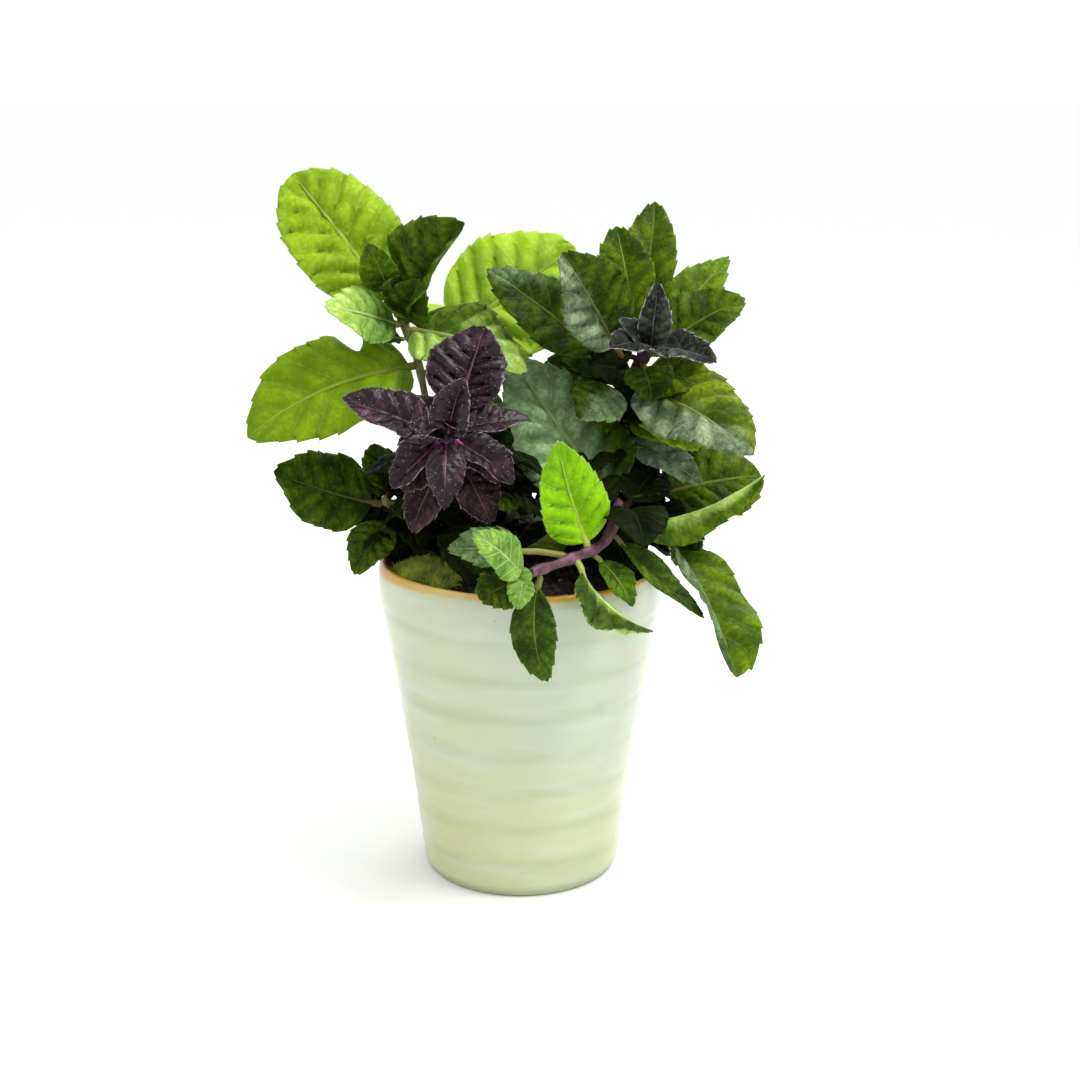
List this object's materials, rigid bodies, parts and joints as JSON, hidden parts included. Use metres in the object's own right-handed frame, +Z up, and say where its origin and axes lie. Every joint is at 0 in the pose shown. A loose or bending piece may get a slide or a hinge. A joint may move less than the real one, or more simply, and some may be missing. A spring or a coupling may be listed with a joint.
{
  "type": "potted plant",
  "caption": "Water mint with toothed green, dark and purple leaves on thin stems, rooted in soil in a small ridged cup with a pale celadon glaze.",
  "frame": {"origin": "centre of the cup's foot, on the surface it stands on", "axes": "+Z up along the cup's axis, -Y towards the front of the plant, +X to its right"},
  "size_m": [0.0909, 0.0721, 0.1265],
  "materials": {
    "bluish_leaf": "satin",
    "bright_leaf": "satin",
    "brown_leaf": "satin",
    "dark_leaf": "satin",
    "glaze": "gloss",
    "green_leaf": "satin",
    "green_stem": "satin",
    "grey_purple_leaf": "satin",
    "moss": "matte",
    "pale_leaf": "satin",
    "purple_leaf": "satin",
    "purple_stem": "satin",
    "soil": "matte"
  },
  "bodies": {
    "root": {"back_leaf_large": "pale_leaf", "back_leaf_rear": "pale_leaf", "back_stem": "green_stem", "dark_leaf_back_right": "bright_leaf", "dark_leaf_far_left": "dark_leaf", "dark_leaf_large_right": "dark_leaf", "dark_leaf_left": "dark_leaf", "dark_leaf_low_right": "bright_leaf", "dark_leaf_middle": "green_leaf", "dark_leaf_rear": "dark_leaf", "dark_leaf_right": "dark_leaf", "dark_leaf_small": "green_leaf", "dark_leaf_top": "dark_leaf", "dark_shoot_tip": "grey_purple_leaf", "dark_stem": "purple_stem", "front_leaf_big": "bluish_leaf", "front_leaf_bright": "pale_leaf", "front_leaf_drooping": "green_leaf", "front_leaf_folded": "pale_leaf", "front_leaf_hanging": "green_leaf", "front_leaf_hidden": "green_leaf", "front_leaf_left": "bluish_leaf", "front_leaf_long": "green_leaf", "front_leaf_round": "dark_leaf", "front_leaf_shade": "dark_leaf", "front_shoot_tip": "pale_leaf", "front_stem": "purple_stem", "low_left_leaf_down": "dark_leaf", "low_left_leaf_inner": "dark_leaf", "low_left_leaf_large": "dark_leaf", "low_left_leaf_up": "dark_leaf", "low_left_stem": "green_stem", "low_right_leaf_hanging": "bright_leaf", "low_right_leaf_inner": "dark_leaf", "low_right_leaf_right": "dark_leaf", "low_right_leaf_small": "bluish_leaf", "low_right_stem": "purple_stem", "moss": "moss", "pot": "glaze", "purple_leaf_front_left": "purple_leaf", "purple_leaf_front_right": "purple_leaf", "purple_leaf_left": "purple_leaf", "purple_leaf_low_left": "brown_leaf", "purple_leaf_low_right": "brown_leaf", "purple_leaf_right": "purple_leaf", "purple_leaf_top": "purple_leaf", "purple_leaf_under": "brown_leaf", "purple_shoot_tip": "purple_leaf", "purple_stem": "purple_stem", "soil": "soil", "tall_leaf_back": "bright_leaf", "tall_leaf_low_left": "bright_leaf", "tall_leaf_low_right": "green_leaf", "tall_leaf_right": "green_leaf", "tall_leaf_side": "pale_leaf", "tall_leaf_small": "green_leaf", "tall_leaf_under": "bright_leaf", "tall_leaf_upright": "dark_leaf", "tall_shoot_tip": "green_leaf", "tall_stem": "green_stem"}
  },
  "joints": []
}
